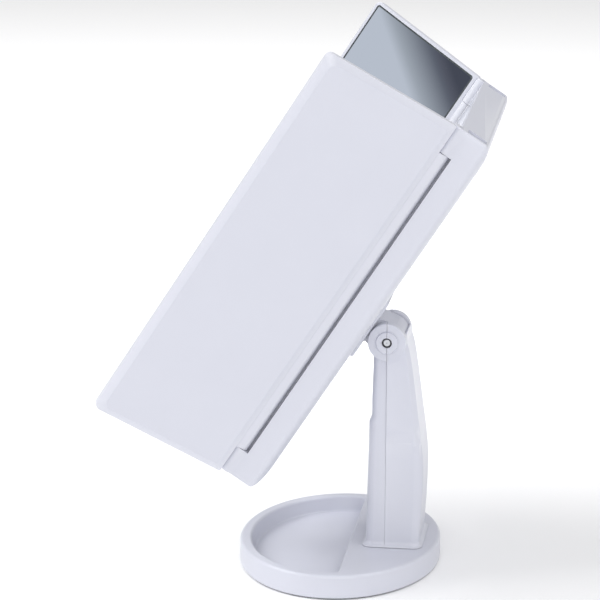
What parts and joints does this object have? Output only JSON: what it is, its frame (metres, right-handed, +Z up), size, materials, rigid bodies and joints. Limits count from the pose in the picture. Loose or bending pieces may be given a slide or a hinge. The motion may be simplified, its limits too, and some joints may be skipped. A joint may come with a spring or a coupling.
{
  "type": "trifold vanity mirror",
  "caption": "Tabletop trifold vanity mirror: tilting lit centre panel, two folding mirror wings, slim post and oval tray base.",
  "frame": {"origin": "centre of the oval base's underside, on the surface it stands on", "axes": "+Z up, the mirrors face -Y, +X runs along the oval base's long axis"},
  "size_m": [0.249, 0.2147, 0.3257],
  "materials": {
    "white_plastic": "satin white moulded ABS with a cool tint",
    "grey_plastic": "fine matt moulded plastic",
    "mirror_glass": "silvered float glass",
    "frosted_acrylic": "frosted light diffuser",
    "steel": "zinc-plated steel",
    "black_rubber": "soft matt foam rubber",
    "black_plastic": "fine-grained black",
    "circuit_board": "solder mask over fibreglass",
    "battery_jacket": "printed sleeve, plain"
  },
  "bodies": {
    "stand": {"base_tray": "white_plastic", "base_bottom_plate": "grey_plastic", "base_screw_1": "steel", "base_screw_2": "steel", "base_screw_3": "steel", "base_screw_4": "steel", "non_slip_pad": "black_rubber", "base_weight": "steel", "post_front_shell": "white_plastic", "post_rear_shell": "white_plastic", "post_screw_1": "steel", "post_screw_2": "steel", "post_screw_3": "steel", "post_screw_4": "steel", "pivot_bushing_left": "black_plastic", "pivot_bushing_right": "black_plastic", "friction_washer_left": "steel", "friction_washer_right": "steel", "pivot_bolt": "steel", "pivot_nut": "steel"},
    "head": {"pivot_bracket": "white_plastic", "bracket_screw_1": "steel", "bracket_screw_2": "steel", "bracket_screw_3": "steel", "bracket_screw_4": "steel", "rear_housing": "white_plastic", "housing_screw_1": "steel", "housing_screw_2": "steel", "housing_screw_3": "steel", "housing_screw_4": "steel", "hinge_pin_left_upper": "steel", "hinge_pin_left_lower": "steel", "hinge_pin_right_upper": "steel", "hinge_pin_right_lower": "steel", "front_bezel": "white_plastic", "centre_mirror": "mirror_glass", "touch_button": "frosted_acrylic", "led_diffuser_left": "frosted_acrylic", "led_board_left": "circuit_board", "led_diffuser_right": "frosted_acrylic", "led_board_right": "circuit_board", "control_board": "circuit_board", "usb_socket": "steel", "aaa_battery_1": "battery_jacket", "aaa_battery_2": "battery_jacket", "aaa_battery_3": "battery_jacket", "aaa_battery_4": "battery_jacket", "battery_contact_lower": "steel", "battery_contact_upper": "steel"},
    "left_wing": {"left_wing_shell": "white_plastic", "left_wing_mirror": "mirror_glass"},
    "right_wing": {"right_wing_shell": "white_plastic", "right_wing_mirror_lower": "mirror_glass", "right_wing_mirror_upper": "mirror_glass", "magnifier_bar": "white_plastic"},
    "battery_cover": {"battery_cover": "white_plastic"},
    "power_switch": {"power_switch_knob": "black_plastic"}
  },
  "joints": [
    {"name": "panel_tilt", "type": "hinge", "parent": "stand", "child": "head", "pos_m": [0, 0.0295, 0.1405], "axis": [1, 0, 0], "range_deg": [-56.7, 35]},
    {"name": "right_wing_hinge", "type": "hinge", "parent": "head", "child": "right_wing", "pos_m": [0.0888, -0.00226, 0.16136], "axis": [0, 0.549, 0.8358], "range_deg": [-110, 70]},
    {"name": "left_wing_hinge", "type": "hinge", "parent": "head", "child": "left_wing", "pos_m": [-0.0888, -0.00226, 0.16136], "axis": [0, -0.549, -0.8358], "range_deg": [-110, 70]},
    {"name": "battery_cover_hook", "type": "hinge", "parent": "head", "child": "battery_cover", "pos_m": [0, 0.04852, 0.19932], "axis": [-1, 0, 0], "range_deg": [0, 80]},
    {"name": "power_switch_slide", "type": "slide", "parent": "head", "child": "power_switch", "axis": [0, 0.549, 0.8358], "range_m": [0, 0.003]}
  ]
}
